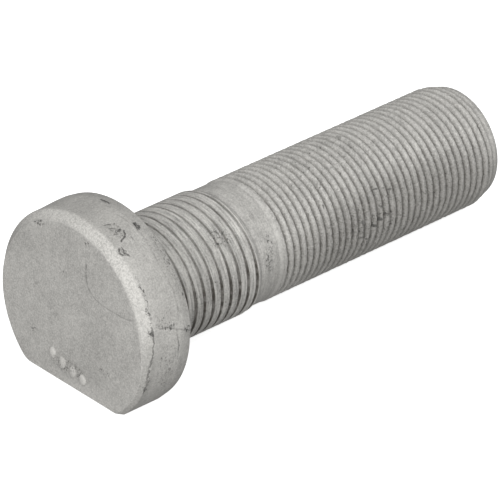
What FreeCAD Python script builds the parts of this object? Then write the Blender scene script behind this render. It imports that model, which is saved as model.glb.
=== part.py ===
import FreeCAD, Part
import Sketcher
import math
import os

NODE = "wheel_bolt"

# Driving sizes of the bolt, in millimetres, apart from the count of grooves.
# Lengths run along the bolt's axis; those of the shank start at the underside of the head.
SIZES = {
    # D-shaped head
    "head_diameter": 36.4,
    "head_height": 10.0,
    "head_chamfer_length": 1.65,
    "head_chamfer_rise": 1.5,
    "head_bevel_length": 1.3,
    "head_bevel_rise": 0.2,
    "head_crown_radius": 8.5,
    "flat_distance": 13.2,
    "flat_corner_radius": 1.2,
    # ribbed shank, pressed into the hub
    "rib_diameter": 22.7,
    "rib_length": 21.8,
    "rib_chamfer_length": 0.5,
    "underhead_fillet": 1.7,
    "groove_gap": 2.6,
    "groove_pitch": 2.0,
    "groove_starts": 2,
    "groove_width": 0.5,
    "groove_depth": 0.22,
    "groove_floor": 0.08,
    # plain neck between the ribs and the thread
    "neck_diameter": 21.66,
    "neck_length": 5.4,
    "thread_lip_length": 0.8,
    # threaded end, drawn at its major diameter
    "thread_diameter": 22.0,
    "shank_length": 80.0,
    "end_chamfer_length": 3.0,
    "end_chamfer_rise": 0.95,
}

doc = FreeCAD.newDocument("WheelBolt")


def make_sheet():
    """Write the driving sizes to the spreadsheet, one named cell each."""
    sheet = doc.addObject("Spreadsheet::Sheet", "sizes")
    for row, (name, value) in enumerate(SIZES.items(), start=1):
        sheet.set(f"A{row}", name)
        sheet.set(f"B{row}", str(value))
        sheet.setAlias(f"B{row}", name)
    doc.recompute()
    return sheet


def origin_plane(body, role):
    """Return the body's own origin plane with the given role."""
    return next(item for item in body.Origin.OriginFeatures if item.Role == role)


def new_sketch(body, name, role):
    """Start a sketch on one of the body's origin planes."""
    sketch = body.newObject("Sketcher::SketchObject", name)
    sketch.AttachmentSupport = (origin_plane(body, role), "")
    sketch.MapMode = "FlatFace"
    return sketch


def drive(sketch, constraint, name, expression):
    """Add a size to the sketch, name it and tie it to the spreadsheet."""
    index = sketch.addConstraint(constraint)
    sketch.renameConstraint(index, name)
    sketch.setExpression(f"Constraints.{name}", expression)


def crowned_arc(first, second, radius):
    """Arc from the second point back to the first, bulging away from the axis."""
    middle = (first + second) * 0.5
    chord = second - first
    inward = FreeCAD.Vector(chord.y, -chord.x, 0).normalize()
    centre = middle + inward * math.sqrt(radius ** 2 - chord.Length ** 2 / 4)
    start = math.atan2(second.y - centre.y, second.x - centre.x)
    stop = math.atan2(first.y - centre.y, first.x - centre.x)
    return Part.ArcOfCircle(Part.Circle(centre, FreeCAD.Vector(0, 0, 1), radius), start, stop)


def turned_profile(body):
    """Half section of the whole bolt, from the head's face to the thread end."""
    sketch = new_sketch(body, "turned_profile", "XZ_Plane")
    head_radius = SIZES["head_diameter"] / 2
    rib_radius = SIZES["rib_diameter"] / 2
    neck_radius = SIZES["neck_diameter"] / 2
    thread_radius = SIZES["thread_diameter"] / 2
    head_back = SIZES["head_height"]
    fillet = SIZES["underhead_fillet"]
    rib_end = head_back + SIZES["rib_length"]
    neck_end = rib_end + SIZES["neck_length"]
    end = head_back + SIZES["shank_length"]

    # each edge with its starting corner: the place along the axis and the distance away from it
    corners = {
        "face": (0, 0),
        "chamfer": (0, head_radius - SIZES["head_chamfer_rise"]),
        "side": (SIZES["head_chamfer_length"], head_radius),
        "bevel": (head_back - SIZES["head_bevel_length"], head_radius),
        "back": (head_back, head_radius - SIZES["head_bevel_rise"]),
        "fillet": (head_back, rib_radius + fillet),
        "ribs": (head_back + fillet, rib_radius),
        "rib_chamfer": (rib_end, rib_radius),
        "neck": (rib_end + SIZES["rib_chamfer_length"], neck_radius),
        "lip": (neck_end, neck_radius),
        "thread": (neck_end + SIZES["thread_lip_length"], thread_radius),
        "end_chamfer": (end - SIZES["end_chamfer_length"], thread_radius),
        "end": (end, thread_radius - SIZES["end_chamfer_rise"]),
        "axis": (end, 0),
    }
    names = list(corners)
    points = [FreeCAD.Vector(along, away, 0) for along, away in corners.values()]
    fillet_centre = FreeCAD.Vector(head_back + fillet, rib_radius + fillet, 0)
    crowned = ("chamfer", "bevel")
    edges = {}
    for name, first, second in zip(names, points, points[1:] + points[:1]):
        curve = Part.LineSegment(first, second)
        if name == "fillet":
            circle = Part.Circle(fillet_centre, FreeCAD.Vector(0, 0, 1), fillet)
            curve = Part.ArcOfCircle(circle, math.pi, 1.5 * math.pi)
        elif name in crowned:
            curve = crowned_arc(first, second, SIZES["head_crown_radius"])
        edges[name] = sketch.addGeometry(curve, False)

    # a crowned arc runs backwards along the outline, so its two ends are the other way round
    starts = {name: 2 if name in crowned else 1 for name in names}
    for name, following in zip(names, names[1:] + names[:1]):
        kind = "Tangent" if "fillet" in (name, following) else "Coincident"
        end = 3 - starts[name]
        constraint = Sketcher.Constraint(kind, edges[name], end, edges[following], starts[following])
        sketch.addConstraint(constraint)
    sketch.addConstraint(Sketcher.Constraint("Coincident", edges["face"], 1, -1, 1))
    for name in ("face", "back", "end"):
        sketch.addConstraint(Sketcher.Constraint("Vertical", edges[name]))
    for name in ("side", "ribs", "neck", "thread", "axis"):
        sketch.addConstraint(Sketcher.Constraint("Horizontal", edges[name]))

    def place(direction, name, expression):
        """Tie the starting corner of an edge to the spreadsheet, along the axis or away from it."""
        value = corners[name][0 if direction == "along" else 1]
        kind = "DistanceX" if direction == "along" else "DistanceY"
        constraint = Sketcher.Constraint(kind, -1, 1, edges[name], starts[name], value)
        drive(sketch, constraint, f"{name}_{direction}", expression)

    rib_end_place = "sizes.head_height + sizes.rib_length"
    neck_end_place = f"{rib_end_place} + sizes.neck_length"
    end_place = "sizes.head_height + sizes.shank_length"
    place("away", "chamfer", "sizes.head_diameter / 2 - sizes.head_chamfer_rise")
    place("away", "side", "sizes.head_diameter / 2")
    place("away", "back", "sizes.head_diameter / 2 - sizes.head_bevel_rise")
    place("away", "rib_chamfer", "sizes.rib_diameter / 2")
    place("away", "neck", "sizes.neck_diameter / 2")
    place("away", "thread", "sizes.thread_diameter / 2")
    place("away", "end", "sizes.thread_diameter / 2 - sizes.end_chamfer_rise")
    place("along", "side", "sizes.head_chamfer_length")
    place("along", "bevel", "sizes.head_height - sizes.head_bevel_length")
    place("along", "back", "sizes.head_height")
    place("along", "rib_chamfer", rib_end_place)
    place("along", "neck", f"{rib_end_place} + sizes.rib_chamfer_length")
    place("along", "lip", neck_end_place)
    place("along", "thread", f"{neck_end_place} + sizes.thread_lip_length")
    place("along", "end_chamfer", f"{end_place} - sizes.end_chamfer_length")
    place("along", "end", end_place)
    rounding = Sketcher.Constraint("Radius", edges["fillet"], fillet)
    drive(sketch, rounding, "underhead_fillet", "sizes.underhead_fillet")
    for name in crowned:
        crown = Sketcher.Constraint("Radius", edges[name], SIZES["head_crown_radius"])
        drive(sketch, crown, f"{name}_crown", "sizes.head_crown_radius")
    return sketch


def flat_profile(body):
    """Crescent that the flat takes off the round head, with rounded corners."""
    sketch = new_sketch(body, "flat_profile", "YZ_Plane")
    head_radius = SIZES["head_diameter"] / 2
    flat = SIZES["flat_distance"]
    corner = SIZES["flat_corner_radius"]
    outer = head_radius + SIZES["head_chamfer_rise"]
    centre_up = corner - flat
    centre_side = math.sqrt((head_radius - corner) ** 2 - centre_up ** 2)
    swing = math.atan2(centre_up, centre_side)
    axis = FreeCAD.Vector(0, 0, 1)

    def ray(radius, angle):
        """Point of the sketch at a radius and an angle."""
        return FreeCAD.Vector(radius * math.cos(angle), radius * math.sin(angle), 0)

    right_circle = Part.Circle(FreeCAD.Vector(centre_side, centre_up, 0), axis, corner)
    left_circle = Part.Circle(FreeCAD.Vector(-centre_side, centre_up, 0), axis, corner)
    outer_circle = Part.Circle(FreeCAD.Vector(0, 0, 0), axis, outer)
    left_swing = -math.pi - swing
    flat_left = FreeCAD.Vector(-centre_side, -flat, 0)
    flat_right = FreeCAD.Vector(centre_side, -flat, 0)
    flat_edge = sketch.addGeometry(Part.LineSegment(flat_left, flat_right), False)
    right = sketch.addGeometry(Part.ArcOfCircle(right_circle, -math.pi / 2, swing), False)
    right_ray = Part.LineSegment(ray(head_radius, swing), ray(outer, swing))
    right_out = sketch.addGeometry(right_ray, False)
    around = sketch.addGeometry(Part.ArcOfCircle(outer_circle, left_swing, swing), False)
    left_ray = Part.LineSegment(ray(outer, left_swing), ray(head_radius, left_swing))
    left_in = sketch.addGeometry(left_ray, False)
    left = sketch.addGeometry(Part.ArcOfCircle(left_circle, left_swing, -math.pi / 2), False)

    sketch.addConstraint(Sketcher.Constraint("Tangent", flat_edge, 2, right, 1))
    sketch.addConstraint(Sketcher.Constraint("Tangent", left, 2, flat_edge, 1))
    sketch.addConstraint(Sketcher.Constraint("Perpendicular", right, 2, right_out, 1))
    sketch.addConstraint(Sketcher.Constraint("Perpendicular", left_in, 2, left, 1))
    sketch.addConstraint(Sketcher.Constraint("Coincident", right_out, 2, around, 2))
    sketch.addConstraint(Sketcher.Constraint("Coincident", left_in, 1, around, 1))
    sketch.addConstraint(Sketcher.Constraint("Coincident", around, 3, -1, 1))
    sketch.addConstraint(Sketcher.Constraint("PointOnObject", -1, 1, right_out))
    sketch.addConstraint(Sketcher.Constraint("PointOnObject", -1, 1, left_in))
    sketch.addConstraint(Sketcher.Constraint("Horizontal", flat_edge))
    sketch.addConstraint(Sketcher.Constraint("Equal", right, left))
    reach = Sketcher.Constraint("Distance", -1, 1, right_out, 1, head_radius)
    drive(sketch, reach, "head_radius", "sizes.head_diameter / 2")
    height = Sketcher.Constraint("DistanceY", flat_edge, 1, -1, 1, flat)
    drive(sketch, height, "flat_distance", "sizes.flat_distance")
    rounding = Sketcher.Constraint("Radius", right, corner)
    drive(sketch, rounding, "corner_radius", "sizes.flat_corner_radius")
    clear = Sketcher.Constraint("Radius", around, outer)
    drive(sketch, clear, "outer_radius", "sizes.head_diameter / 2 + sizes.head_chamfer_rise")
    return sketch


def groove_profile(body):
    """Narrow groove between two ribs, drawn where it starts above the axis."""
    sketch = new_sketch(body, "groove_profile", "XZ_Plane")
    start = SIZES["head_height"] + SIZES["groove_gap"]
    crest = SIZES["rib_diameter"] / 2
    half_width = SIZES["groove_width"] / 2
    half_floor = SIZES["groove_floor"] / 2
    depth = SIZES["groove_depth"]
    corners = [
        (start - half_floor, crest - depth),
        (start + half_floor, crest - depth),
        (start + half_width, crest),
        (start + half_width, crest + depth),
        (start - half_width, crest + depth),
        (start - half_width, crest),
    ]
    points = [FreeCAD.Vector(along, away, 0) for along, away in corners]
    edges = []
    for index, first in enumerate(points):
        second = points[(index + 1) % len(points)]
        edges.append(sketch.addGeometry(Part.LineSegment(first, second), False))
    for edge, following in zip(edges, edges[1:] + edges[:1]):
        sketch.addConstraint(Sketcher.Constraint("Coincident", edge, 2, following, 1))
    floor, right_flank, right_wall, roof, left_wall, left_flank = edges
    for edge in (floor, roof):
        sketch.addConstraint(Sketcher.Constraint("Horizontal", edge))
    for edge in (right_wall, left_wall):
        sketch.addConstraint(Sketcher.Constraint("Vertical", edge))
    sketch.addConstraint(Sketcher.Constraint("Equal", right_wall, left_wall))
    sketch.addConstraint(Sketcher.Constraint("Equal", right_flank, left_flank))
    crest_height = Sketcher.Constraint("DistanceY", -1, 1, right_wall, 1, crest)
    drive(sketch, crest_height, "crest_radius", "sizes.rib_diameter / 2")
    floor_height = Sketcher.Constraint("DistanceY", -1, 1, floor, 1, crest - depth)
    drive(sketch, floor_height, "floor_radius", "sizes.rib_diameter / 2 - sizes.groove_depth")
    roof_height = Sketcher.Constraint("DistanceY", -1, 1, roof, 1, crest + depth)
    drive(sketch, roof_height, "roof_radius", "sizes.rib_diameter / 2 + sizes.groove_depth")
    floor_width = Sketcher.Constraint("DistanceX", floor, 1, floor, 2, 2 * half_floor)
    drive(sketch, floor_width, "floor_width", "sizes.groove_floor")
    mouth_width = Sketcher.Constraint("DistanceX", roof, 2, roof, 1, 2 * half_width)
    drive(sketch, mouth_width, "mouth_width", "sizes.groove_width")
    place = Sketcher.Constraint("DistanceX", -1, 1, floor, 1, start - half_floor)
    drive(sketch, place, "groove_place", "sizes.head_height + sizes.groove_gap - sizes.groove_floor / 2")
    return sketch


def lay_down(body):
    """Lay the bolt on the flat's inner edge and the thread end, centred over the origin."""
    run = "(sizes.shank_length - sizes.end_chamfer_length)"
    drop = "(sizes.flat_distance - sizes.thread_diameter / 2)"
    tilt = f"atan({drop} / {run})"
    reach = f"((sizes.head_height + sizes.shank_length) * cos({tilt})"
    end_lift = "(sizes.thread_diameter / 2 - sizes.end_chamfer_rise - sizes.flat_distance)"
    middle = f"{reach} + {end_lift} * sin({tilt})) / 2"
    lift = f"sizes.head_height * sin({tilt}) + sizes.flat_distance * cos({tilt})"
    base = f"vector(-{middle}; 0; {lift})"
    body.setExpression("Placement", f"placement({base}; rotation(vector(0; 1; 0); {tilt}))")


def build_bolt():
    """Model the bolt as one forged and rolled piece."""
    body = doc.addObject("PartDesign::Body", NODE)
    body.Label = NODE

    # turned shape: head, ribbed shank, neck and threaded end in one revolution
    profile = turned_profile(body)
    turned = body.newObject("PartDesign::Revolution", "turned")
    turned.Profile = profile
    turned.ReferenceAxis = (profile, ["H_Axis"])
    turned.Angle = 360
    doc.recompute()
    turned_volume = body.Shape.Volume

    # flat on the head, which stops the bolt from turning in the hub
    flat = body.newObject("PartDesign::Pocket", "flat")
    flat.Profile = flat_profile(body)
    flat.Reversed = True
    flat.setExpression("Length", "sizes.head_height")
    doc.recompute()
    flat_volume = body.Shape.Volume
    if flat_volume >= turned_volume:
        raise RuntimeError("the flat took nothing off the head")

    # spiral grooves that leave the press-fit ribs standing
    path = groove_profile(body)
    groove = body.newObject("PartDesign::SubtractiveHelix", "groove")
    groove.Profile = path
    groove.ReferenceAxis = (path, ["H_Axis"])
    groove.Mode = "pitch-height-angle"
    groove.setExpression("Pitch", "sizes.groove_pitch * sizes.groove_starts")
    run_out = "sizes.rib_chamfer_length + sizes.groove_width"
    groove.setExpression("Height", f"sizes.rib_length - sizes.groove_gap + {run_out}")
    doc.recompute()
    groove_volume = body.Shape.Volume
    if groove_volume >= flat_volume:
        raise RuntimeError("the groove took nothing off the shank")

    starts = body.newObject("PartDesign::PolarPattern", "groove_set")
    starts.Originals = [groove]
    starts.Axis = (path, ["H_Axis"])
    starts.Angle = 360
    starts.setExpression("Occurrences", "sizes.groove_starts")
    body.Tip = starts
    lay_down(body)
    doc.recompute()
    if SIZES["groove_starts"] > 1 and body.Shape.Volume >= groove_volume:
        raise RuntimeError("the other grooves took nothing off the shank")
    return body


def check(body):
    """Stop unless every object is sound and the bolt is one valid solid."""
    for item in doc.Objects:
        if "Invalid" in item.State or "Error" in item.State:
            raise RuntimeError(f"{item.Name} failed: {item.State}")
    if body.Shape.isNull() or not body.Shape.isValid():
        raise RuntimeError(f"{body.Label} has no valid shape")
    if len(body.Shape.Solids) != 1:
        raise RuntimeError(f"{body.Label} is not one solid")


make_sheet()
bolt = build_bolt()
check(bolt)
os.makedirs("parts", exist_ok=True)
bolt.Shape.exportStep(f"parts/{bolt.Label}.step")
box = bolt.Shape.optimalBoundingBox(False, False)
print(f"{bolt.Label}: volume {bolt.Shape.Volume:.0f} mm3")
print(f"length {box.XLength:.3f}, width {box.YLength:.3f}, height {box.ZLength:.3f}, lowest {box.ZMin:.3f}")
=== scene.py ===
"""Looks of a wheel bolt: D-shaped head, spirally ribbed shank, plain neck and fine thread."""
import logging
import math
from dataclasses import dataclass, field
from enum import Enum

import bpy
import numpy as np
from mathutils import Euler, Matrix, Vector


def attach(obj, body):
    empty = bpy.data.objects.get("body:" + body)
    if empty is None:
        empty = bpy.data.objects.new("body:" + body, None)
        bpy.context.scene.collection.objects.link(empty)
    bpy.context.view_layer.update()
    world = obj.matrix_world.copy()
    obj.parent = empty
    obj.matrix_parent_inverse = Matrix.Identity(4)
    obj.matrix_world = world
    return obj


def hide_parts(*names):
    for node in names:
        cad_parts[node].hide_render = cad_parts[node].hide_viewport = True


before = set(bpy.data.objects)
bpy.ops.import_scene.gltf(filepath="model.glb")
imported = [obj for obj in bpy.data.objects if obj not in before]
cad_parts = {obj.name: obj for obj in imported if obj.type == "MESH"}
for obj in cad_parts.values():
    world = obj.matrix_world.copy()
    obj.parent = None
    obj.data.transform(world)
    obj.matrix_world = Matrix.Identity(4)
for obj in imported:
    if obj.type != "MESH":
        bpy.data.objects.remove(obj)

log = logging.getLogger("wheel_bolt")

MM = 0.001
TURN = 2.0 * math.pi
NODE = "wheel_bolt"
Pair = tuple[float, float]
Triple = tuple[float, float, float]
Colour = tuple[float, float, float, float]
Socket = bpy.types.NodeSocket

# rows closer than this are one row, and edges flatter than this are smooth
MERGE_DISTANCE = 0.002 * MM
SMOOTH_ANGLE = math.radians(38)
# noise is read this far from the bolt's axis, on which its layers would line up
NOISE_OFFSET: Triple = (53.37, 71.91, 35.53)


@dataclass(frozen=True)
class RestPose:
    """How the bolt lies: on the inner edge of its flat and on the thread end, in millimetres."""

    flat_distance: float = 13.2
    thread_radius: float = 11.0
    end_radius: float = 10.05
    head_height: float = 10.0
    length: float = 90.0
    end_chamfer: float = 3.0

    @property
    def tilt(self) -> float:
        """Dip of the bolt's axis below the level, in radians."""
        run = self.length - self.head_height - self.end_chamfer
        return math.atan((self.flat_distance - self.thread_radius) / run)

    @property
    def base(self) -> Vector:
        """Centre of the head's outer face in the row frame, in metres."""
        dip, rise = math.sin(self.tilt), math.cos(self.tilt)
        back = (self.length * rise + (self.end_radius - self.flat_distance) * dip) / 2
        lift = self.head_height * dip + self.flat_distance * rise
        return Vector((-back, 0.0, lift)) * MM

    def direction(self, along: float, side: float, up: float) -> Vector:
        """Turn a direction from the bolt's own axes to the row frame."""
        dip, rise = math.sin(self.tilt), math.cos(self.tilt)
        return Vector((along * rise + up * dip, side, up * rise - along * dip))

    def point(self, along: float, side: float, up: float) -> Vector:
        """Row-frame point in metres of a point given in the bolt's own axes in millimetres."""
        return self.base + self.direction(along, side, up) * MM

    def points(self, along: np.ndarray, side: np.ndarray, up: np.ndarray) -> np.ndarray:
        """Row-frame points in metres of arrays in the bolt's own axes.

        Args:
            along: places along the bolt's axis, in millimetres.
            side: places across the bolt, level.
            up: places across the bolt, upwards.

        Returns:
            Array of points with the coordinates in the last place.
        """
        dip, rise = math.sin(self.tilt), math.cos(self.tilt)
        spread = np.stack([along * rise + up * dip, side, up * rise - along * dip], axis=-1)
        return spread * MM + np.array(self.base)


@dataclass
class Skin:
    """A stretch of the bolt's surface as rows around the axis.

    Each array has one line per row and one column per angle: the place along the axis, the
    distance away from it, both in millimetres, and how deep in a groove the point lies.
    """

    along: np.ndarray
    away: np.ndarray
    depth: np.ndarray


def smooth_step(value: np.ndarray) -> np.ndarray:
    """Ease from 0 to 1 as the value goes from 0 to 1."""
    held = np.clip(value, 0.0, 1.0)
    return held * held * (3.0 - 2.0 * held)


def window(place: np.ndarray, start: float, rise: float, stop: float, fall: float) -> np.ndarray:
    """Ease in and out again over a range of places or angles.

    Args:
        place: places or angles.
        start: where the window begins to open.
        rise: length over which it opens.
        stop: where it is closed again.
        fall: length over which it closes.

    Returns:
        Array of the same shape, 1 inside the window and 0 outside.
    """
    return smooth_step((place - start) / rise) * smooth_step((stop - place) / fall)


def ripple(way: np.ndarray, seed: float) -> np.ndarray:
    """Gentle repeatable unevenness between about -1 and 1 along a path.

    Args:
        way: distance along the path, in radians of turn.
        seed: number that sets one unevenness apart from another.

    Returns:
        Array of the same shape.
    """
    first = np.sin(way * 3.1 + seed * 1.7)
    second = np.sin(way * 7.3 + seed * 4.1 + 1.3)
    third = np.sin(way * 16.7 + seed * 2.9 + 0.4)
    return 0.45 * first + 0.35 * second + 0.3 * third


def rounded_outline(corners: list[Triple], steps: int = 4) -> list[Pair]:
    """Round the corners of a half section.

    Args:
        corners: place along the axis, distance away from it and rounding radius of each corner.
        steps: runs that each rounded corner is divided into.

    Returns:
        Points of the half section, from the first corner to the last.
    """
    outline: list[Pair] = [(corners[0][0], corners[0][1])]
    for before, corner, after in zip(corners, corners[1:], corners[2:]):
        here = Vector(corner[:2])
        towards = (Vector(before[:2]) - here).normalized()
        onwards = (Vector(after[:2]) - here).normalized()
        half = 0.5 * math.acos(max(-1.0, min(1.0, towards.dot(onwards))))
        cut = corner[2] / math.tan(half) if corner[2] else 0.0
        if not cut:
            outline.append((here.x, here.y))
            continue
        start, stop = here + towards * cut, here + onwards * cut
        for step in range(steps + 1):
            share = step / steps
            point = start * (1 - share) ** 2 + here * 2 * share * (1 - share) + stop * share ** 2
            outline.append((point.x, point.y))
    outline.append((corners[-1][0], corners[-1][1]))
    return outline


def turned_skin(outline: list[Pair], angles: np.ndarray, longest: float = 1.2) -> Skin:
    """Turn a half section about the axis.

    Args:
        outline: points of the half section.
        angles: angles of the columns.
        longest: most that two rows may lie apart, in millimetres.

    Returns:
        Rows of the turned surface, none of them in a groove.
    """
    dense: list[Pair] = [outline[0]]
    for first, second in zip(outline, outline[1:]):
        count = max(1, math.ceil(math.dist(first, second) / longest))
        for step in range(1, count + 1):
            share = step / count
            place = first[0] + (second[0] - first[0]) * share
            reach = first[1] + (second[1] - first[1]) * share
            dense.append((place, reach))
    level = np.ones_like(angles)
    along = np.array([point[0] for point in dense])[:, None] * level
    away = np.array([point[1] for point in dense])[:, None] * level
    return Skin(along, away, np.zeros_like(along))


@dataclass
class Head:
    """D-shaped head, whose flat keeps the bolt from turning in the hub."""

    radius: float = 18.2
    height: float = 10.0
    chamfer_length: float = 1.65
    chamfer_rise: float = 1.5
    bevel_length: float = 1.8
    bevel_rise: float = 0.26
    lap_rise: float = 0.3
    top_rise: float = 0.22
    flat_distance: float = 13.2
    flat_edge: float = 0.08
    near_corner: float = 0.25
    near_chamfer: float = 0.5
    far_corner: float = 1.1
    fillet: float = 1.7
    fillet_steps: int = 6
    shank_radius: float = 11.35
    face_round: float = 0.3
    chamfer_round: float = 0.9
    bevel_round: float = 0.5
    rim_round: float = 0.35
    row_spacing: float = 0.9

    def skin(self, angles: np.ndarray) -> Skin:
        """Surface from the middle of the outer face to the foot of the fillet.

        Args:
            angles: angles of the columns.

        Returns:
            Rows of the surface.
        """
        face_edge = self.radius - self.chamfer_rise
        foot = self.shank_radius + self.fillet
        outer = rounded_outline([
            (0.0, 0.0, 0.0),
            (0.0, face_edge, self.face_round),
            (self.chamfer_length, self.radius, self.chamfer_round),
            (self.height - self.bevel_length, self.radius, self.bevel_round),
            (self.height, self.radius - self.bevel_rise, self.rim_round),
            (self.height, foot, 0.0),
        ])
        for step in range(1, self.fillet_steps + 1):
            swing = step / self.fillet_steps * math.pi / 2
            along = self.height + self.fillet * (1 - math.cos(swing))
            outer.append((along, foot - self.fillet * math.sin(swing)))
        skin = turned_skin(outer, angles, self.row_spacing)
        self.narrow_chamfer(skin, angles)
        skin.away += self.lap(skin, angles)
        skin.away = self.flattened(skin, angles)
        return skin

    @property
    def corner_turn(self) -> float:
        """Angle from the top at which the flat meets the round side, in radians."""
        return math.pi - math.acos(self.flat_distance / self.radius)

    def narrow_chamfer(self, skin: Skin, angles: np.ndarray) -> None:
        """Let the chamfer run narrower towards the near corner of the flat.

        Args:
            skin: turned surface of the head, changed in place.
            angles: angles of the columns.
        """
        narrow = window(np.degrees(angles), 72.0, 45.0, 175.0, 20.0)
        share = 1.0 - (1.0 - self.near_chamfer) * narrow
        face_edge = self.radius - self.chamfer_rise
        for row in range(len(skin.along)):
            along, away = skin.along[row, 0], skin.away[row, 0]
            if along <= 1e-6 and away <= face_edge:
                skin.away[row] = away * (self.radius - self.chamfer_rise * share) / face_edge
            elif along <= self.chamfer_length * 1.5 and away > face_edge - 0.5:
                skin.away[row] = self.radius - (self.radius - away) * share
                skin.along[row] = along * share

    def lap(self, skin: Skin, angles: np.ndarray) -> np.ndarray:
        """How far the rim is folded outwards on the near side, where forging left a lap, and at the top.

        Args:
            skin: turned surface of the head.
            angles: angles of the columns.

        Returns:
            Outward moves of the rows, in millimetres.
        """
        turn = np.degrees(angles)
        near = window(turn, 40.0, 35.0, 87.0, 5.0)
        top = window(turn, -70.0, 40.0, 50.0, 40.0)
        outer = smooth_step((skin.away - 16.5) / 1.5) * (skin.along <= self.height)
        rear = smooth_step((skin.along - 6.8) / 2.2) * outer
        middle = smooth_step((skin.along - 3.0) / 4.0) * outer
        return self.lap_rise * near * rear + self.top_rise * top * middle

    def flattened(self, skin: Skin, angles: np.ndarray) -> np.ndarray:
        """Hold the turned surface within the flat, with eased corners and edges.

        Args:
            skin: turned surface of the head.
            angles: angles of the columns.

        Returns:
            Distances of the rows from the axis, in millimetres.
        """
        least_slant, least_ease, corner_reach = 0.05, 0.02, 0.16
        slant = np.maximum(-np.cos(angles), least_slant)
        from_rims = np.minimum(skin.along, np.abs(self.height - skin.along))
        flat = self.flat_distance - np.maximum(self.flat_edge - from_rims, 0.0)
        limit = flat / slant
        corner = np.where(angles > 0.0, self.near_corner, self.far_corner)
        ease = least_ease + corner * np.exp(-((np.abs(angles) - self.corner_turn) / corner_reach) ** 2)
        share = np.clip(0.5 + 0.5 * (limit - skin.away) / ease, 0.0, 1.0)
        return limit + (skin.away - limit) * share - ease * share * (1.0 - share)


@dataclass
class RibbedShank:
    """Press-fit part of the shank, with two spiral grooves between flat ribs."""

    start: float = 11.7
    stop: float = 33.2
    radius: float = 11.35
    neck_radius: float = 10.83
    pitch: float = 2.0
    starts: int = 2
    first_groove: float = 12.6
    groove_depth: float = 0.42
    end_at_top: float = 31.0
    end_slope: float = 1.1
    low_widening: float = 0.5
    groove_half: float = 0.4
    wander: float = 0.02
    fade: float = 1.4
    step_past: float = 137.0
    step_before: float = -43.0
    step_reach: float = 14.0
    section: tuple[Pair, ...] = (
        (-0.34, 0.0), (-0.27, 0.12), (-0.17, 1.0), (0.17, 1.0), (0.27, 0.12), (0.34, 0.0),
        (0.6, 0.15), (0.78, 0.0), (1.08, 0.0), (1.24, 0.17), (1.42, 0.0),
    )

    def rib_end(self, angles: np.ndarray) -> np.ndarray:
        """Place where the ribs stop; it climbs with the spiral and steps back on the hidden side."""
        lead = self.pitch * self.starts
        climb = self.end_at_top + lead * angles / TURN
        past = (angles - math.radians(self.step_past)) / math.radians(self.step_reach)
        before = (math.radians(self.step_before) - angles) / math.radians(self.step_reach)
        return climb - self.pitch * smooth_step(past) + self.pitch * smooth_step(before)

    def skin(self, angles: np.ndarray) -> Skin:
        """Rows that follow the spiral, held between the two ends of this stretch.

        Args:
            angles: angles of the columns.

        Returns:
            Rows of the ribs and grooves.
        """
        lead = self.pitch * self.starts
        first = math.floor((self.start - lead - self.first_groove) / self.pitch)
        last = math.ceil((self.stop + lead - self.first_groove) / self.pitch)
        wider = 1.0 + self.low_widening * window(np.degrees(angles), 55.0, 35.0, 175.0, 20.0)
        along, depth = [], []
        for turn in range(first, last):
            for offset, deep in self.section:
                place = self.first_groove + turn * self.pitch
                across = offset * wider if abs(offset) < self.groove_half else offset
                way = angles + TURN * turn / self.starts
                uneven = self.wander * ripple(way, offset * 3)
                along.append(place + across + lead * angles / TURN + uneven)
                depth.append(np.full_like(angles, deep))
        along = np.clip(np.array(along), self.start, self.stop)
        fade_in = smooth_step((along - self.start) / self.fade)
        step_down = smooth_step((along - self.rib_end(angles)[None, :]) / self.end_slope)
        step_down = np.maximum(step_down, smooth_step((along - self.stop + 0.9) / 0.8))
        depth = np.array(depth) * fade_in * (1.0 - step_down)
        away = self.radius - (self.radius - self.neck_radius) * step_down - self.groove_depth * depth
        return Skin(along, away, depth)


@dataclass
class Neck:
    """Plain rolled-down stretch between the ribs and the thread, ending in a lip that the coating lights
    with a painted highlight.
    """

    start: float = 33.2
    stop: float = 37.2
    radius: float = 10.83
    lip: float = 0.8
    lip_round: float = 0.4
    row_spacing: float = 0.5
    thread_radius: float = 11.0

    def skin(self, angles: np.ndarray) -> Skin:
        """Turned surface of the neck and the lip up to the thread."""
        outline = rounded_outline([
            (self.start, self.radius, 0.0),
            (self.stop, self.radius, self.lip_round),
            (self.stop + self.lip, self.thread_radius, 0.0),
        ])
        return turned_skin(outline, angles, self.row_spacing)


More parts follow.
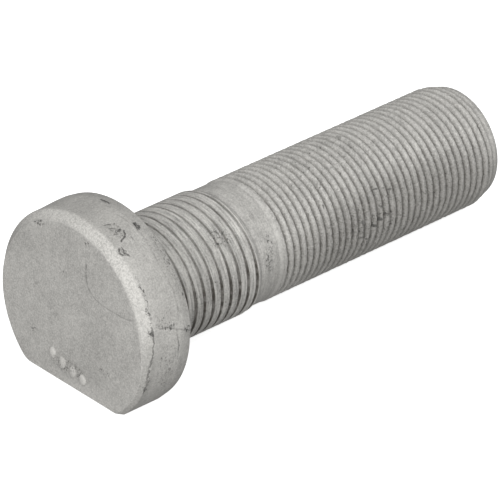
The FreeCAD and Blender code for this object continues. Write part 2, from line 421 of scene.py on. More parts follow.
@dataclass
class Thread:
    """Rolled right-hand thread with worn crests."""

    start: float = 38.0
    stop: float = 89.6
    radius: float = 11.0
    chamfer_start: float = 87.0
    chamfer_slope: float = 0.95 / 3.0
    pitch: float = 1.5
    crest_at_top: float = 39.69
    groove_depth: float = 0.72
    wander: float = 0.08
    crest_wear: float = 0.08
    fade_in: float = 0.5
    fade_out: float = 2.2
    section: tuple[Pair, ...] = (
        (-0.12, 0.0), (0.12, 0.0), (0.17, 0.07), (0.29, 0.52),
        (0.41, 0.97), (0.59, 0.97), (0.71, 0.52), (0.83, 0.07),
    )

    def skin(self, angles: np.ndarray) -> Skin:
        """Rows that follow the thread, held between the two ends of this stretch.

        Args:
            angles: angles of the columns.

        Returns:
            Rows of the thread.
        """
        first = math.floor((self.start - self.pitch - self.crest_at_top) / self.pitch) - 1
        last = math.ceil((self.stop + self.pitch - self.crest_at_top) / self.pitch) + 1
        along, depth, wear = [], [], []
        for turn in range(first, last):
            for offset, deep in self.section:
                place = self.crest_at_top + (turn + offset) * self.pitch
                way = angles + TURN * turn
                uneven = self.wander * ripple(way * 3.3, offset * 5)
                along.append(place + self.pitch * angles / TURN + uneven)
                depth.append(np.full_like(angles, deep))
                wear.append(self.crest_wear * ripple(way * 3.7, 8.0 + offset * 2) * (1.0 - abs(deep)))
        along = np.clip(np.array(along), self.start, self.stop)
        fade = window(along, self.start, self.fade_in, self.stop, self.fade_out)
        depth = np.array(depth) * fade
        envelope = self.radius - self.chamfer_slope * np.maximum(along - self.chamfer_start, 0.0)
        away = envelope - self.groove_depth * depth - np.abs(np.array(wear)) * fade
        return Skin(along, away, np.clip(depth, 0.0, 1.0))


@dataclass
class ThreadEnd:
    """Plain chamfer and flat face that close the thread end."""

    start: float = 89.6
    length: float = 90.0
    radius: float = 11.0 - 2.6 * 0.95 / 3.0
    end_radius: float = 10.05
    end_round: float = 0.3
    row_spacing: float = 1.0

    def skin(self, angles: np.ndarray) -> Skin:
        """Turned surface from the thread to the middle of the end face."""
        outline = rounded_outline([
            (self.start, self.radius, 0.0),
            (self.length, self.end_radius, self.end_round),
            (self.length, 0.0, 0.0),
        ])
        return turned_skin(outline, angles, self.row_spacing)


class MarkKind(Enum):
    """What a mark does to the coating."""

    # Round the pips the flecks and the darker patch are painted shade; on the lower side the darker patches
    # are partly painted shade.
    FLECKS = "dark flecks of rubbed coating"
    STAIN_AND_SHADE = "a soft darker patch"


class MarkPlace(Enum):
    """Surface that a mark is measured on."""

    ROUND = "side of the head and shank: place along the axis and angle from the top"
    FACE = "outer face of the head: distance to the near side and height"


@dataclass(frozen=True)
class Mark:
    """A region where dark flecks of rubbed coating gather, or which is darker as a whole; round the pips
    such regions are painted shade, and on the lower side they are partly painted shade.

    On the round surfaces the first number is the place along the axis in millimetres and the
    second the angle from the top in degrees; on the face both are millimetres from its middle.
    """

    first: float
    second: float
    half_first: float
    half_second: float
    strength: float = 1.0
    place: MarkPlace = MarkPlace.ROUND
    kind: MarkKind = MarkKind.FLECKS


@dataclass(frozen=True)
class Stroke:
    """A short dark line rubbed or folded into the round surface.

    Its two ends are given as the place along the axis in millimetres and the angle from the top
    in degrees.
    """

    start: Pair
    stop: Pair
    width: float = 0.24
    strength: float = 0.85


def chain(places: tuple[Pair, ...], width: float, strength: float) -> tuple[Stroke, ...]:
    """Join places into a line of strokes."""
    return tuple(Stroke(first, second, width, strength) for first, second in zip(places, places[1:]))


class NodeBench:
    """Lays out the nodes of one material."""

    def __init__(self, tree: bpy.types.NodeTree) -> None:
        """Keep the tree that the nodes go into."""
        self.tree = tree

    def add(self, kind: str, **settings: object) -> bpy.types.Node:
        """Add a node and set its plain properties."""
        node = self.tree.nodes.new(kind)
        for name, value in settings.items():
            setattr(node, name, value)
        return node

    def feed(self, socket: Socket, value: object) -> None:
        """Link a socket to another one, or set its value."""
        if isinstance(value, Socket):
            self.tree.links.new(value, socket)
        else:
            socket.default_value = value

    def fill(self, node: bpy.types.Node, values: dict[str, object]) -> None:
        """Link or set inputs of a node by their names."""
        for name, value in values.items():
            self.feed(node.inputs[name], value)

    def math(self, operation: str, first: object, second: object = 0.0,
             third: object = 0.0) -> Socket:
        """Work out one step of arithmetic."""
        node = self.add("ShaderNodeMath", operation=operation)
        for socket, value in zip(node.inputs, (first, second, third)):
            self.feed(socket, value)
        return node.outputs[0]

    def times(self, first: object, second: object) -> Socket:
        """Multiply two values."""
        return self.math("MULTIPLY", first, second)

    def most(self, first: object, second: object) -> Socket:
        """Keep the greater of two values."""
        return self.math("MAXIMUM", first, second)

    def pair(self, first: object, second: object) -> Socket:
        """Join two values into a place on a plane."""
        node = self.add("ShaderNodeCombineXYZ")
        self.feed(node.inputs[0], first)
        self.feed(node.inputs[1], second)
        return node.outputs[0]

    def noise(self, place: Socket, scale: float, detail: float = 2.0,
              rough: float = 0.5) -> Socket:
        """Cloudy noise about 0.5, read away from the bolt's axis, where its layers would line up.

        Args:
            place: position to read the noise at.
            scale: clouds in a millimetre.
            detail: how many finer layers are added.
            rough: how strong the finer layers are.

        Returns:
            Socket that carries the noise.
        """
        moved = self.add("ShaderNodeMapping")
        self.fill(moved, {"Vector": place, "Location": NOISE_OFFSET})
        node = self.add("ShaderNodeTexNoise")
        self.fill(node, {"Vector": moved.outputs[0], "Scale": scale, "Detail": detail, "Roughness": rough})
        return node.outputs["Fac"]

    def span(self, value: object, low: float, high: float, start: float = 0.0,
             stop: float = 1.0) -> Socket:
        """Ease from start to stop while the value goes from low to high."""
        node = self.add("ShaderNodeMapRange", interpolation_type="SMOOTHSTEP")
        ends = {"From Min": low, "From Max": high, "To Min": start, "To Max": stop}
        self.fill(node, {"Value": value, **ends})
        return node.outputs["Result"]

    def tint(self, share: object, first: object, second: object) -> Socket:
        """Blend two colours by a share."""
        node = self.add("ShaderNodeMix", data_type="RGBA")
        self.feed(node.inputs[0], share)
        self.feed(node.inputs[6], first)
        self.feed(node.inputs[7], second)
        return node.outputs[2]


@dataclass(frozen=True)
class Spot:
    """Where a point of the bolt lies and the noises there, as sockets of a material.

    Places are in the bolt's own axes in millimetres, the turn is in degrees from the top towards
    the near side, and the depth is 1 at the bottom of a groove.
    """

    place: Socket
    along: Socket
    near: Socket
    up: Socket
    turn: Socket
    depth: Socket
    on_face: Socket
    on_round: Socket
    grain: Socket
    mottle: Socket
    clouds: Socket
    streaks: Socket


@dataclass(frozen=True)
class Wear:
    """Colour of the worn coating, with its painted highlights and painted shade, and the marks that are
    hollow, as sockets of a material.
    """

    colour: Socket
    crease: Socket
    lines: Socket
    flecks: Socket


@dataclass(frozen=True)
class CoatedSteel:
    """Matte light grey zinc-flake coating with fine grain, grime and painted shade in the grooves, painted
    highlights, darker patches and flecks of rubbed coating.
    """

    name: str = "coated_steel"
    base: Colour = (0.24, 0.235, 0.223, 1.0)
    pale: Colour = (0.60, 0.588, 0.558, 1.0)
    # dark colour of grime and of painted shade in the grooves and the darker patches
    dirt_and_shade: Colour = (0.062, 0.056, 0.047, 1.0)
    # dark colour of flecks, scratches, strokes and the crease, also laid as painted shade on the rear bevel
    # and round the pips
    fleck_and_shade: Colour = (0.05, 0.049, 0.046, 1.0)
    metallic: float = 0.08
    roughness: float = 0.75
    specular: float = 0.3
    bump_strength: float = 0.6
    bump_height: float = 0.06
    rib_lead: float = 4.0
    rib_stop: float = 32.0
    # start of the painted shade on the rear bevel of the head
    rim_start: float = 7.6
    thread_start: float = 38.0
    face_depth: float = 0.12
    arc: float = 0.318
    marks: tuple[Mark, ...] = field(default_factory=tuple)
    strokes: tuple[Stroke, ...] = field(default_factory=tuple)

    def material(self, pose: RestPose) -> bpy.types.Material:
        """Make the node material.

        Args:
            pose: how the bolt lies, so that the patterns follow the bolt's own axes.

        Returns:
            The material.
        """
        material = bpy.data.materials.new(self.name)
        material.use_nodes = True
        bench = NodeBench(material.node_tree)
        shader = material.node_tree.nodes["Principled BSDF"]
        spot = self.spot(bench, pose)
        colour = self.plain_colour(bench, spot)
        # painted shade on the rear bevel of the head
        colour = bench.tint(self.rim_painted_shade(bench, spot), colour, self.fleck_and_shade)
        # painted highlights on the lip, the crest specks and the chamfer, and the rubbed pips
        colour = bench.tint(self.rubbed(bench, spot), colour, self.pale)
        # grime and painted shade in the grooves
        colour = bench.tint(self.groove_grime_and_shade(bench, spot), colour, self.dirt_and_shade)
        wear = self.wear(bench, spot, colour)
        bench.fill(shader, {
            "Base Color": wear.colour,
            "Roughness": bench.span(spot.mottle, 0.3, 0.7, self.roughness - 0.06, self.roughness + 0.08),
            "Metallic": self.metallic,
            "Specular IOR Level": self.specular,
            "Normal": self.relief(bench, spot, wear),
        })
        return material

    def spot(self, bench: NodeBench, pose: RestPose) -> Spot:
        """Work out where a point lies in the bolt's own axes, and read the noises there.

        Args:
            bench: bench of the material.
            pose: how the bolt lies.

        Returns:
            What the layers of the coating are worked out from.
        """
        coordinates = bench.add("ShaderNodeTexCoord")
        axes = bench.add("ShaderNodeMapping", vector_type="TEXTURE")
        bench.fill(axes, {
            "Vector": coordinates.outputs["Object"],
            "Location": pose.base,
            "Rotation": (0.0, pose.tilt, 0.0),
            "Scale": (MM, MM, MM),
        })
        place = axes.outputs[0]
        parts = bench.add("ShaderNodeSeparateXYZ")
        bench.feed(parts.inputs[0], place)
        along, side, up = parts.outputs
        near = bench.times(side, -1.0)
        turn = bench.times(bench.math("ARCTAN2", near, up), 360.0 / TURN)
        depth = bench.add("ShaderNodeAttribute", attribute_name="groove_depth").outputs["Fac"]
        on_face = bench.math("LESS_THAN", along, self.face_depth)
        middle = pose.length / 2
        from_middle = bench.math("ABSOLUTE", bench.math("SUBTRACT", along, middle))
        on_round = bench.math("LESS_THAN", from_middle, middle - self.face_depth)
        grain = bench.noise(place, 3.2, 4.0, 0.78)
        mottle = bench.noise(place, 0.75, 4.0, 0.65)
        clouds = bench.noise(place, 0.14, 2.0, 0.5)
        streaks = self.streaks(bench, along, turn)
        return Spot(place, along, near, up, turn, depth, on_face, on_round, grain, mottle, clouds, streaks)

    def plain_colour(self, bench: NodeBench, spot: Spot) -> Socket:
        """Colour of the clean coating, with its grain, clouds and rolling lines."""
        shade = bench.math("ADD", bench.times(spot.grain, 0.95), bench.times(spot.mottle, 0.3))
        shade = bench.math("ADD", shade, bench.times(spot.clouds, 0.25))
        shade = bench.math("ADD", shade, bench.math("MULTIPLY_ADD", spot.streaks, 0.9, -0.45))
        return bench.tint(bench.span(shade, 0.38, 1.10), self.base, self.pale)

    def rim_painted_shade(self, bench: NodeBench, spot: Spot) -> Socket:
        """Painted shade: how much darker the band at the rim of the head is, on the rear bevel that turns
        away from the light.
        """
        uneven = bench.math("ADD", spot.along, bench.math("MULTIPLY_ADD", spot.mottle, 1.2, -0.6))
        band = bench.span(uneven, self.rim_start - 0.15, self.rim_start + 0.15)
        band = bench.times(band, bench.span(spot.along, 10.05, 9.9))
        return bench.times(band, 0.12)

    def rubbed(self, bench: NodeBench, spot: Spot) -> Socket:
        """How much pale colour is laid on: a painted highlight along the lip, on specks of the thread's
        crests and on the upper side of the chamfer, and the rubbed pips.

        Args:
            bench: bench of the material.
            spot: where the point lies.

        Returns:
            Socket that carries the share of the pale colour.
        """
        along = spot.along
        # painted highlight along the lip
        in_lip = bench.times(bench.span(along, 37.05, 37.35), bench.span(along, 38.15, 37.85))
        # painted highlights on specks of the thread's crests
        on_thread = bench.span(spot.depth, 0.2, 0.05)
        on_thread = bench.times(on_thread, bench.math("GREATER_THAN", along, self.thread_start))
        patches = bench.span(bench.noise(spot.place, 2.4, 3.0, 0.65), 0.5, 0.66)
        crest_highlights = bench.times(on_thread, patches)
        lip = bench.times(in_lip, bench.span(spot.mottle, 0.35, 0.65, 0.1, 0.42))
        bright = bench.most(lip, bench.times(crest_highlights, 0.75))
        bright = bench.most(bright, bench.span(along, -0.06, -0.2, 0.0, 0.7))
        # painted highlight on the chamfer, only on its upper side where the light falls
        chamfer = bench.times(bench.span(along, 0.1, 0.4), bench.span(along, 1.75, 1.4))
        chamfer = bench.times(chamfer, bench.span(spot.grain, 0.42, 0.6, 0.1, 0.6))
        upper = bench.span(spot.turn, 95.0, 60.0)
        return bench.most(bright, bench.times(chamfer, upper))

    def groove_grime_and_shade(self, bench: NodeBench, spot: Spot) -> Socket:
        """How much darker the grooves are painted, most on the near and lower side: grime, and painted
        shade deep in the grooves and on the side turned from the light.

        Args:
            bench: bench of the material.
            spot: where the point lies.

        Returns:
            Socket that carries the share of the dark colour of grime and painted shade.
        """
        uneven = bench.span(spot.mottle, 0.3, 0.65, 0.6, 1.0)
        in_thread = bench.math("GREATER_THAN", spot.along, self.rib_stop + 3.0)
        ragged = bench.math("MULTIPLY_ADD", bench.noise(spot.place, 2.6, 3.0, 0.65), 1.7, -0.85)
        ragged = bench.math("ADD", spot.depth, ragged)
        thread_grime_and_shade = bench.span(ragged, 0.25, 0.95)
        # painted shade: darker towards the lower side, away from the light, for the thread here and for the
        # ribs below
        thread_grime_and_shade = bench.times(thread_grime_and_shade, bench.span(spot.turn, 0.0, 50.0, 0.26, 0.66))
        rib_grime_and_shade = bench.span(spot.depth, 0.12, 0.55)
        rib_grime_and_shade = bench.times(rib_grime_and_shade, bench.span(spot.turn, 45.0, 85.0, 0.55, 1.0))
        thread_grime_and_shade = bench.times(thread_grime_and_shade, in_thread)
        rib_grime_and_shade = bench.times(rib_grime_and_shade, bench.math("SUBTRACT", 1.0, in_thread))
        return bench.times(bench.most(thread_grime_and_shade, rib_grime_and_shade), uneven)

    def gathered(self, bench: NodeBench, spot: Spot) -> tuple[object, object]:
        """Add up the marks.

        Args:
            bench: bench of the material.
            spot: where the point lies.

        Returns:
            How much flecks gather at the point, and how strong the darker patches of stains and painted
            shade are there.
        """
        gather: object = 0.0
        stain_and_shade: object = 0.0
        for mark in self.marks:
            if mark.place is MarkPlace.FACE:
                region = self.region(bench, mark, spot.near, spot.up, spot.on_face)
            else:
                region = self.region(bench, mark, spot.along, spot.turn, spot.on_round)
            if mark.kind is MarkKind.STAIN_AND_SHADE:
                stain_and_shade = bench.most(stain_and_shade, region)
            else:
                gather = bench.most(gather, region)
        return gather, stain_and_shade

    def wear(self, bench: NodeBench, spot: Spot, colour: Socket) -> Wear:
        """Lay stains and painted shade, the crease, strokes, scratches and flecks over the coating.

        Args:
            bench: bench of the material.
            spot: where the point lies.
            colour: colour so far.

        Returns:
            The worn colour and the marks that are hollow.
        """
        gather, stain_and_shade = self.gathered(bench, spot)
        cloudy = bench.span(spot.mottle, 0.25, 0.6, 0.5, 1.0)
        # darker patches: stains, and painted shade on the lower side and round the pips
        colour = bench.tint(bench.times(stain_and_shade, cloudy), colour, self.dirt_and_shade)
        crease = bench.times(self.crease(bench, spot), spot.on_face)
        colour = bench.tint(bench.times(crease, 0.5), colour, self.fleck_and_shade)
        lines = self.lines(bench, spot, bench.noise(spot.place, 1.0, 3.0, 0.6))
        lines = bench.times(lines, spot.on_round)
        colour = bench.tint(lines, colour, self.fleck_and_shade)
        scratch = bench.math("SUBTRACT", bench.noise(spot.place, 0.62, 3.0, 0.6), 0.5)
        scratch = bench.span(bench.math("ABSOLUTE", scratch), 0.014, 0.003)
        scratch = bench.times(scratch, bench.span(gather, 0.05, 0.5))
        colour = bench.tint(bench.times(scratch, 0.6), colour, self.fleck_and_shade)
        crumbs = self.crumbs(bench, spot)
        least = bench.math("MULTIPLY_ADD", gather, -0.27, 0.705)
        flecks = bench.math("SUBTRACT", crumbs, least)
        colour = bench.tint(bench.span(flecks, 0.0, 0.07, 0.0, 0.82), colour, self.fleck_and_shade)
        return Wear(colour, crease, lines, flecks)

    def relief(self, bench: NodeBench, spot: Spot, wear: Wear) -> Socket:
        """Fine relief of the grain and the rolling lines, with the hollow marks sunk in.

        Args:
            bench: bench of the material.
            spot: where the point lies.
            wear: marks of wear.

        Returns:
            Socket that carries the direction that the surface faces.
        """
        height = bench.math("ADD", spot.grain, bench.times(spot.mottle, 1.2))
        height = bench.math("ADD", height, bench.times(spot.streaks, 2.4))
        height = bench.math("SUBTRACT", height, bench.span(wear.flecks, 0.0, 0.05, 0.0, 0.6))
        height = bench.math("SUBTRACT", height, bench.times(wear.crease, 1.5))
        height = bench.math("SUBTRACT", height, bench.times(wear.lines, 1.5))
        bump = bench.add("ShaderNodeBump")
        bench.fill(bump, {
            "Strength": self.bump_strength,
            "Distance": self.bump_height * MM,
            "Height": height,
        })
        return bump.outputs["Normal"]

    def crease(self, bench: NodeBench, spot: Spot) -> Socket:
        """Thin broken line of a shallow hollow on the outer face.

        Args:
            bench: bench of the material.
            spot: where the point lies.

        Returns:
            Socket that is 1 on the line and 0 off it.
        """
        near, up = spot.near, spot.up
        centre_near, centre_up, half_near, half_up, power = 10.0, 11.5, 6.8, 5.9, 3.3
        across = bench.math("MULTIPLY_ADD", near, 1 / half_near, -centre_near / half_near)
        across = bench.math("ABSOLUTE", across)
        height = bench.math("MULTIPLY_ADD", up, 1 / half_up, -centre_up / half_up)
        height = bench.math("ABSOLUTE", height)
        total = bench.math("ADD", bench.math("POWER", across, power), bench.math("POWER", height, power))
        reach = bench.math("POWER", total, 1 / power)
        line = bench.span(bench.math("ABSOLUTE", bench.math("SUBTRACT", reach, 1.0)), 0.045, 0.0)
        broken = bench.span(bench.noise(bench.pair(near, up), 0.6, 1.0), 0.3, 0.55, 0.35, 1.0)
        broken = bench.times(broken, bench.span(up, 7.0, 8.4, 0.5, 1.0))
        return bench.times(bench.times(line, broken), bench.span(up, 12.4, 11.2))

    def lines(self, bench: NodeBench, spot: Spot, noise: Socket) -> Socket:
        """Strength of the dark strokes on the round surface.

        Args:
            bench: bench of the material.
            spot: where the point lies.
            noise: socket with the noise that makes the strokes uneven.

        Returns:
            Socket that is strong on the strokes and 0 off them.
        """
        arc = bench.times(spot.turn, self.arc)
        wobble = bench.math("MULTIPLY_ADD", noise, 0.9, -0.45)
        total: object = 0.0
        for stroke in self.strokes:
            start = Vector((stroke.start[0], stroke.start[1] * self.arc))
            stop = Vector((stroke.stop[0], stroke.stop[1] * self.arc))
            half = (stop - start).length / 2
            way = (stop - start).normalized()
            middle = (start + stop) / 2
            # each stroke waits for the one before it, which keeps the number of values in hand small
            after = bench.math("MULTIPLY_ADD", total, 0.0, spot.along)
            lengthwise = bench.math("MULTIPLY_ADD", after, way.x, -middle.dot(way))
            lengthwise = bench.math("MULTIPLY_ADD", arc, way.y, lengthwise)
            across = bench.math("MULTIPLY_ADD", after, -way.y, middle.x * way.y - middle.y * way.x)
            across = bench.math("MULTIPLY_ADD", arc, way.x, across)
            across = bench.math("ABSOLUTE", bench.math("ADD", across, wobble))
            line = bench.span(across, stroke.width, stroke.width * 0.35, 0.0, stroke.strength)
            ends = bench.span(bench.math("ABSOLUTE", lengthwise), half + 0.15, half - 0.15)
            total = bench.most(total, bench.times(line, ends))
        return bench.times(total, bench.span(noise, 0.25, 0.5, 0.5, 1.0))

    def crumbs(self, bench: NodeBench, spot: Spot) -> Socket:
        """Noise whose peaks are the flecks: drawn out round the bolt, and even on its two end faces."""
        spread = bench.pair(bench.times(spot.along, 1.5), bench.times(spot.turn, 0.55 * self.arc))
        drawn_out = bench.noise(spread, 2.2, 4.0, 0.68)
        even = bench.noise(spot.place, 2.6, 4.0, 0.66)
        return bench.math("MULTIPLY_ADD", bench.math("SUBTRACT", drawn_out, even), spot.on_round, even)

    def streaks(self, bench: NodeBench, along: Socket, turn: Socket) -> Socket:
        """Fine rolling lines on the ribs and the neck, parallel to the rib grooves; 0.5 elsewhere.

        Args:
            bench: bench of the material.
            along: socket with the place along the axis.
            turn: socket with the angle from the top.

        Returns:
            Socket that carries the lines.
        """
        unrolled = bench.math("MULTIPLY_ADD", turn, -self.rib_lead / 360.0, along)
        spread = bench.pair(bench.times(unrolled, 3.0), bench.times(turn, 0.05))
        lines = bench.noise(spread, 1.0, 2.0, 0.6)
        on_ribs = bench.span(along, 10.2, 11.2)
        on_ribs = bench.times(on_ribs, bench.span(along, self.rib_stop, self.rib_stop + 0.5, 1.0, 0.45))
        on_ribs = bench.times(on_ribs, bench.span(along, 37.6, 37.2))
        return bench.math("MULTIPLY_ADD", bench.math("SUBTRACT", lines, 0.5), on_ribs, 0.5)

    def region(self, bench: NodeBench, mark: Mark, first: Socket, second: Socket,
               surface: Socket) -> Socket:
        """Strength of one mark: most in its middle, 0 outside.

        Args:
            bench: bench of the material.
            mark: the mark.
            first: socket with the first coordinate of the surface that the mark lies on.
            second: socket with the second coordinate.
            surface: socket that is 1 on that surface and 0 off it.

        Returns:
            Socket that carries the strength.
        """
        across = bench.math("MULTIPLY_ADD", first, 1.0 / mark.half_first, -mark.first / mark.half_first)
        length = bench.math("MULTIPLY_ADD", second, 1.0 / mark.half_second, -mark.second / mark.half_second)
        reach = bench.math("ADD", bench.times(across, across), bench.times(length, length))
        inside = bench.span(reach, 1.0, 0.1, 0.0, mark.strength)
        return bench.times(inside, surface)


@dataclass(frozen=True)
class Pip:
    """A plain worn bump on the outer face: its place and half sizes, in millimetres."""

    near: float
    up: float
    width: float
    height: float
    proud: float
    sink: float = 0.04


@dataclass
class WheelBolt:
    """The whole bolt, one forged and rolled piece."""

    pose: RestPose = field(default_factory=RestPose)
    head: Head = field(default_factory=Head)
    ribs: RibbedShank = field(default_factory=RibbedShank)
    neck: Neck = field(default_factory=Neck)
    thread: Thread = field(default_factory=Thread)
    thread_end: ThreadEnd = field(default_factory=ThreadEnd)
    columns: int = 168
    pips: tuple[Pip, ...] = (
        Pip(-4.0, -8.8, 0.8, 1.15, 0.34),
        Pip(-1.6, -9.6, 0.9, 1.25, 0.36),
        Pip(0.9, -10.2, 0.85, 1.2, 0.32),
        Pip(3.3, -10.6, 0.95, 1.1, 0.36),
    )

    def build(self) -> bpy.types.Object:
        """Roll a grid into the bolt's surface and close it.

        Returns:
            The bolt, with the depth of its grooves as an attribute.
        """
        angles = self.angles()
        parts = (self.head, self.ribs, self.neck, self.thread, self.thread_end)
        skins = [part.skin(angles) for part in parts]
        along = np.vstack([skin.along for skin in skins])
        away = np.vstack([skin.away for skin in skins])
        depth = np.vstack([skin.depth for skin in skins])
        rows = len(along)
        bpy.ops.mesh.primitive_grid_add(x_subdivisions=len(angles) - 1, y_subdivisions=rows - 1, size=MM)
        bolt = bpy.context.object
        bolt.name = "bolt_body"
        points = self.pose.points(along, -away * np.sin(angles), away * np.cos(angles))
        bolt.data.vertices.foreach_set("co", points.astype(np.float32).ravel())
        groove = bolt.data.attributes.new("groove_depth", "FLOAT", "POINT")
        groove.data.foreach_set("value", depth.astype(np.float32).ravel())
        bolt.data.update()
        bpy.ops.object.mode_set(mode="EDIT")
        bpy.ops.mesh.select_all(action="SELECT")
        bpy.ops.mesh.remove_doubles(threshold=MERGE_DISTANCE)
        bpy.ops.mesh.normals_make_consistent(inside=False)
        bpy.ops.object.mode_set(mode="OBJECT")
        self.add_pips(bolt)
        return bolt

    def angles(self) -> np.ndarray:
        """Angles of the columns: even all round, and closer at the two corners of the flat."""
        even = np.linspace(-math.pi, math.pi, self.columns + 1)
        close = np.radians(np.linspace(-2.4, 2.4, 9))
        corner = self.head.corner_turn
        return np.unique(np.round(np.concatenate([even, corner + close, -corner - close]), 6))

    def add_pips(self, bolt: bpy.types.Object) -> None:
        """Raise a short row of plain worn pips on the face above the flat."""
        pips = []
        for bump in self.pips:
            bpy.ops.mesh.primitive_uv_sphere_add(segments=28, ring_count=14, radius=MM)
            pip = bpy.context.object
            pip.data.transform(Matrix.Diagonal((bump.proud, bump.width, bump.height, 1.0)))
            pip.data.transform(Euler((0.0, self.pose.tilt, 0.0)).to_matrix().to_4x4())
            pip.data.transform(Matrix.Translation(self.pose.point(bump.sink, -bump.near, bump.up)))
            groove = pip.data.attributes.new("groove_depth", "FLOAT", "POINT")
            groove.data.foreach_set("value", [0.0] * len(pip.data.vertices))
            pips.append(pip)
        bpy.ops.object.select_all(action="DESELECT")
        for piece in pips + [bolt]:
            piece.select_set(True)
        bpy.context.view_layer.objects.active = bolt
        bpy.ops.object.join()

    def dress(self, bolt: bpy.types.Object, finish: CoatedSteel) -> None:
        """Smooth the turned surfaces and lay the coating on."""
        bpy.ops.object.select_all(action="DESELECT")
        bolt.select_set(True)
        bpy.context.view_layer.objects.active = bolt
        bpy.ops.object.shade_smooth_by_angle(angle=SMOOTH_ANGLE)
        bolt.data.materials.append(finish.material(self.pose))
        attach(bolt, "root")
        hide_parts(NODE)


@dataclass(frozen=True)
class Studio:
    """Pale floor, one large soft light near the camera, a faint even fill, and the camera."""

    camera_place: Triple = (-582.2975, -585.5659, 526.8357)
    camera_turn: Triple = (57.82490686, -1.39951288, -43.75051063)
    lens: float = 416.913
    key_turn: float = 45.0
    key_lean: float = 35.5
    key_distance: float = 1.0
    key_size: float = 0.7
    key_power: float = 10.2
    fill: float = 0.5
    low_fill: float = 0.32
    floor_size: float = 6.0
    floor_glow: float = 0.68
    paper: Colour = (0.9, 0.9, 0.9, 1.0)
    paper_roughness: float = 0.9
    white: Colour = (1.0, 1.0, 1.0, 1.0)
    farthest: float = 20.0
    sensor_width: float = 36.0

    def build(self) -> None:
        """Set the stage up."""
        bpy.context.scene.view_settings.view_transform = "Standard"
        self.lay_floor()
        self.fill_room()
        self.hang_light()
        self.set_camera()

    def lay_floor(self) -> None:
        """Lay a pale floor that throws no light onto the bolt."""
        bpy.ops.mesh.primitive_plane_add(size=self.floor_size)
        floor = bpy.context.object
        floor.name = "floor"
        paper = bpy.data.materials.new("white_paper")
        paper.use_nodes = True
        shader = paper.node_tree.nodes["Principled BSDF"]
        NodeBench(paper.node_tree).fill(shader, {
            "Base Color": self.paper,
            "Roughness": self.paper_roughness,
            "Emission Color": self.white,
            "Emission Strength": self.floor_glow,
        })
        floor.data.materials.append(paper)
        floor.visible_diffuse = False
        floor.visible_glossy = False

    def fill_room(self) -> None:
        """Fill the room with a faint light, stronger from above."""
        world = bpy.data.worlds.new("pale_room")
        world.use_nodes = True
        background = world.node_tree.nodes["Background"]
        bench = NodeBench(world.node_tree)
        sky = bench.add("ShaderNodeSeparateXYZ")
        bench.feed(sky.inputs[0], bench.add("ShaderNodeTexCoord").outputs["Generated"])
        strength = bench.span(sky.outputs[2], -0.4, 0.5, self.low_fill, self.fill)
        bench.fill(background, {"Color": self.white, "Strength": strength})
        bpy.context.scene.world = world

    def hang_light(self) -> None:
        """Hang one large soft light on the near side, towards the head."""
        turn, lean = math.radians(self.key_turn), math.radians(self.key_lean)
        round_about = Vector((0.0, -math.sin(turn), math.cos(turn))) * math.cos(lean)
        towards = round_about + Vector((-math.sin(lean), 0.0, 0.0))
        lamp = bpy.data.lights.new("soft_key", "AREA")
        lamp.energy = self.key_power
        lamp.size = self.key_size
        key = bpy.data.objects.new("soft_key", lamp)
        key.location = towards * self.key_distance
        key.rotation_euler = towards.to_track_quat("Z", "Y").to_euler()
        bpy.context.scene.collection.objects.link(key)

    def set_camera(self) -> None:
        """Set the camera where the photograph was taken from."""
        view = bpy.data.cameras.new("photo_view")
        view.lens = self.lens
        view.sensor_width = self.sensor_width
        view.clip_end = self.farthest
        camera = bpy.data.objects.new("photo_view", view)
        camera.location = Vector(self.camera_place) * MM
        camera.rotation_euler = Euler([math.radians(angle) for angle in self.camera_turn], "XYZ")
        bpy.context.scene.collection.objects.link(camera)
        bpy.context.scene.camera = camera


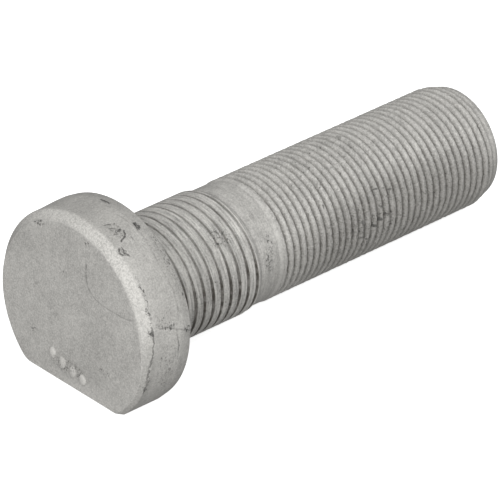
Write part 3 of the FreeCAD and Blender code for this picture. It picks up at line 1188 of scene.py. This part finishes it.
MARKS = (
    Mark(8.0, 20.3, 0.8, 3.6),
    Mark(4.4, 18.0, 1.4, 8.0, 0.55),
    Mark(2.6, 30.0, 0.9, 5.0, 0.7),
    Mark(2.0, 52.0, 0.5, 12.0, 0.72),
    Mark(1.7, 65.0, 0.5, 9.0, 0.7),
    Mark(1.6, 75.5, 0.7, 3.0),
    Mark(4.5, 73.0, 2.6, 9.0, 0.5),
    Mark(9.2, 48.0, 1.0, 35.0, 0.5),
    Mark(8.9, 81.0, 1.2, 3.0, 0.8),
    Mark(5.6, 76.5, 1.6, 2.2, 0.8),
    Mark(5.5, 100.0, 4.0, 25.0, 0.4),
    Mark(1.0, 106.0, 0.7, 12.0, 0.6),
    Mark(55.6, 84.0, 1.8, 15.0, 0.7),
    Mark(60.6, 88.0, 3.4, 14.0, 0.55),
    Mark(58.0, 106.0, 2.0, 9.0, 0.7),
    Mark(34.6, 80.0, 1.0, 14.0, 0.72),
    Mark(35.6, 66.0, 0.8, 16.0, 0.55),
    Mark(26.0, 42.0, 3.4, 15.0, 0.6),
    Mark(55.0, 21.0, 3.0, 6.0, 0.5),
    Mark(60.0, 90.0, 26.0, 50.0, 0.38),
    Mark(56.0, 15.0, 22.0, 50.0, 0.32),
    Mark(22.0, 95.0, 10.0, 40.0, 0.36),
    # darker patches: partly stains, partly painted shade on the near and lower side of the thread, the ribs
    # and the head's chamfer
    Mark(55.8, 84.0, 1.8, 15.0, 0.34, kind=MarkKind.STAIN_AND_SHADE),
    Mark(1.0, 108.0, 1.6, 34.0, 0.18, kind=MarkKind.STAIN_AND_SHADE),
    Mark(64.0, 106.0, 38.0, 68.0, 0.44, kind=MarkKind.STAIN_AND_SHADE),
    Mark(21.5, 96.0, 11.0, 78.0, 0.2, kind=MarkKind.STAIN_AND_SHADE),
    Mark(5.0, 5.0, 5.0, 22.0, 0.14, kind=MarkKind.STAIN_AND_SHADE),
    Mark(6.0, 55.0, 5.0, 30.0, 0.08, kind=MarkKind.STAIN_AND_SHADE),
    # painted shade round the pips: a darker patch and dark flecks
    Mark(0.0, -9.8, 5.4, 2.4, 0.12, MarkPlace.FACE, MarkKind.STAIN_AND_SHADE),
    Mark(0.0, -9.8, 5.6, 2.2, 0.5, MarkPlace.FACE),
    Mark(-8.8, -6.3, 0.9, 1.1, 0.6, MarkPlace.FACE),
    Mark(-2.0, 7.5, 0.7, 0.9, 0.5, MarkPlace.FACE),
    Mark(8.6, -6.8, 2.2, 1.0, 0.5, MarkPlace.FACE),
    Mark(3.1, 15.4, 1.2, 0.7, 0.7, MarkPlace.FACE),
    Mark(-8.4, 14.4, 1.8, 1.4, 0.75, MarkPlace.FACE),
)

STROKES = (
    # scuffs on the upper side of the head
    Stroke((8.0, -7.3), (8.0, -0.6), 0.26),
    *chain(((8.0, 17.9), (7.8, 20.6), (7.8, 23.1)), 0.32, 0.8),
    Stroke((3.2, 11.4), (4.5, 12.9), 0.2, 0.6),
    Stroke((3.4, 14.5), (4.5, 16.5), 0.2, 0.5),
    Stroke((4.2, 18.2), (5.1, 18.5), 0.3, 0.8),
    Stroke((3.2, 19.1), (4.1, 20.1), 0.18, 0.45),
    *chain(((5.4, 19.4), (5.0, 22.7), (3.4, 24.8)), 0.26, 0.85),
    Stroke((5.6, 24.3), (5.7, 26.5), 0.2, 0.5),
    *chain(((2.2, 27.6), (1.8, 29.5), (2.0, 32.2)), 0.24, 0.75),
    *chain(((2.7, 28.9), (2.7, 30.8), (3.0, 33.8)), 0.22, 0.75),
    # folds of the forging on the near side of the head
    *chain(((3.2, 74.6), (4.6, 75.6), (6.5, 78.3), (8.2, 80.6), (9.9, 83.1)), 0.17, 0.36),
    *chain(((6.8, 78.0), (7.0, 85.3), (7.2, 92.0)), 0.2, 0.4),
    *chain(((1.7, 72.0), (1.7, 81.8), (1.0, 95.8), (0.9, 113.0)), 0.19, 0.58),
    *chain(((7.0, 9.0), (7.6, 25.0), (7.3, 45.0), (7.8, 59.0), (7.5, 75.0)), 0.2, 0.18),
    # smears and chipped crests on the near side of the thread
    Stroke((54.3, 74.0), (54.3, 89.0), 0.34, 0.5),
    Stroke((56.5, 80.0), (56.8, 96.0), 0.3, 0.5),
    Stroke((58.8, 91.6), (59.7, 91.0), 0.8, 0.72),
    Stroke((60.2, 87.8), (61.0, 86.9), 0.85, 0.75),
    *chain(((61.7, 85.4), (62.7, 84.8), (63.6, 86.0)), 0.6, 0.55),
    Stroke((60.5, 58.8), (60.9, 57.8), 0.5, 0.62),
    Stroke((62.2, 60.6), (62.5, 59.8), 0.45, 0.45),
    Stroke((63.5, 64.2), (63.9, 63.2), 0.5, 0.55),
    Stroke((60.8, 75.6), (61.2, 74.6), 0.5, 0.55),
    Stroke((56.4, 98.2), (56.9, 97.0), 0.6, 0.6),
    Stroke((58.6, 106.5), (58.625, 112.5)),
    Stroke((48.8, 51.3), (48.8167, 55.3)),
    # faint ones on top of the thread
    Stroke((61.8, -9.2), (61.825, -3.2), strength=0.45),
    Stroke((51.0, -26.6), (51.0333, -18.6), strength=0.4),
)


def main() -> None:
    """Build the bolt and its stage, and report the pieces."""
    logging.basicConfig(level=logging.INFO, format="%(message)s")
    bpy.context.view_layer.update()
    wheel_bolt = WheelBolt()
    bolt = wheel_bolt.build()
    wheel_bolt.dress(bolt, CoatedSteel(marks=MARKS, strokes=STROKES))
    triangles = sum(len(polygon.vertices) - 2 for polygon in bolt.data.polygons)
    log.info("%s: %d vertices, %d triangles", bolt.name, len(bolt.data.vertices), triangles)
    Studio().build()


if __name__ == "__main__":
    main()
